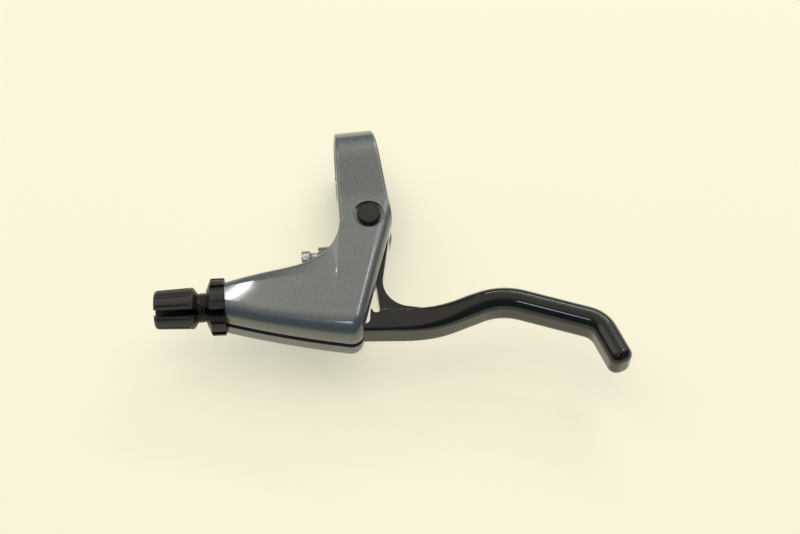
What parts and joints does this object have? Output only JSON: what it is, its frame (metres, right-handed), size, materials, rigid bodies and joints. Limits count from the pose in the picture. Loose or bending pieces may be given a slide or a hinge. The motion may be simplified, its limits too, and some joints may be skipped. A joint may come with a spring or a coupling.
{
  "type": "bicycle brake lever",
  "caption": "Flat-bar bicycle brake lever with a split clamp bracket, a pivoting finger blade, a fluted cable adjuster with its lock ring and a reach screw.",
  "frame": {"origin": "middle of the handlebar clamp's bore", "axes": "+X along the handlebar towards the blade's tip, +Y towards the rider, +Z out of the top face along the lever's pivot axis"},
  "size_m": [0.1579, 0.1038, 0.036],
  "materials": {
    "bracket_paint": "casting with glossy metallic grey paint",
    "lever_paint": "casting with gloss black paint",
    "adjuster_black": "satin black anodised",
    "black_steel": "satin black oxide",
    "bright_steel": "bright zinc plate",
    "spring_steel": "plain spring steel",
    "bush_plastic": "plain dark bearing plastic"
  },
  "bodies": {
    "bracket_body": {"bracket": "bracket_paint", "clamp_bolt": "black_steel", "pivot_axle": "black_steel", "pivot_washer": "bright_steel", "pivot_clip": "spring_steel", "return_spring": "spring_steel"},
    "lever": {"lever_blade": "lever_paint", "upper_bush": "bush_plastic", "lower_bush": "bush_plastic"},
    "reach_screw_body": {"reach_screw": "bright_steel"},
    "barrel": {"adjuster_barrel": "adjuster_black"},
    "lock_ring": {"adjuster_lock_ring": "adjuster_black"}
  },
  "joints": [
    {"name": "lever_pivot", "type": "hinge", "parent": "bracket_body", "child": "lever", "pos_m": [0.0013, -0.025, 0], "axis": [0, 0, 1], "range_deg": [0, 36], "stiffness_Nm_per_rad": 0.25, "springref_deg": -34.38, "deforming": ["return_spring"]},
    {"name": "reach_screw_turn", "type": "hinge", "parent": "bracket_body", "child": "reach_screw_body", "pos_m": [-0.0173, -0.0341, 0], "axis": [1, 0, 0], "continuous": true},
    {"name": "barrel_turn", "type": "hinge", "parent": "bracket_body", "child": "barrel", "pos_m": [-0.05085, -0.0497, 0], "axis": [-0.9978, 0.0663, 0], "continuous": true},
    {"name": "lock_ring_turn", "type": "hinge", "parent": "barrel", "child": "lock_ring", "pos_m": [-0.05085, -0.0497, 0], "axis": [-0.9978, 0.0663, 0], "continuous": true}
  ]
}
